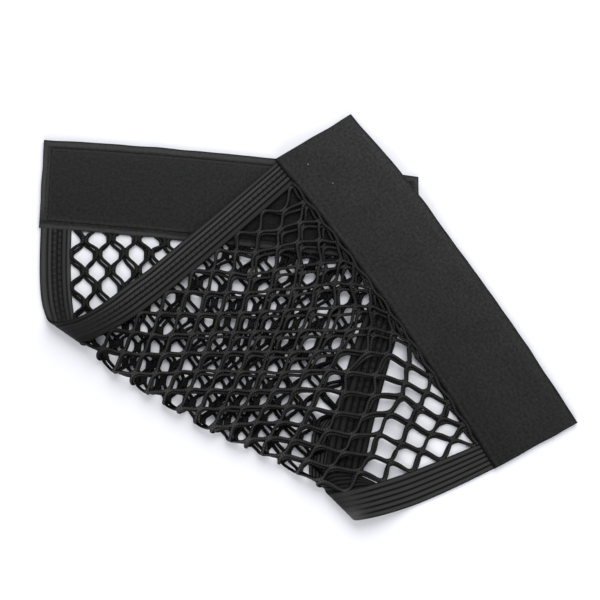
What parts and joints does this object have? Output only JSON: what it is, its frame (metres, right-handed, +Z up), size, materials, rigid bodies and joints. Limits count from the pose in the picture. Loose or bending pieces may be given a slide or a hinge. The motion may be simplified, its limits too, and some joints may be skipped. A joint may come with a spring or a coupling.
{
  "type": "cargo net",
  "caption": "Elastic diamond-mesh cargo net between two hook-tape bands, edged with ribbed elastic, laid flat and folded once on the slant.",
  "frame": {"origin": "middle of the folded outline, on the surface that the net lies on", "axes": "+Z up; +X to the right and +Y away from the viewer, as in a view from above with the far band at the top"},
  "size_m": [0.3476, 0.2708, 0.0127],
  "materials": {
    "woven_band": "black woven polyester, matt, fine twill",
    "hook_tape": "black hook tape, small dense plastic hooks",
    "ribbed_elastic": "black knitted elastic with lengthwise ribs, soft sheen",
    "net_cord": "black knitted elastic cord, matt"
  },
  "bodies": {
    "root": {"band_far": "woven_band", "band_near": "woven_band", "hook_tape_far": "hook_tape", "hook_tape_near": "hook_tape", "elastic_strip_left": "ribbed_elastic", "elastic_strip_right": "ribbed_elastic", "net_panel": "net_cord"}
  },
  "joints": []
}
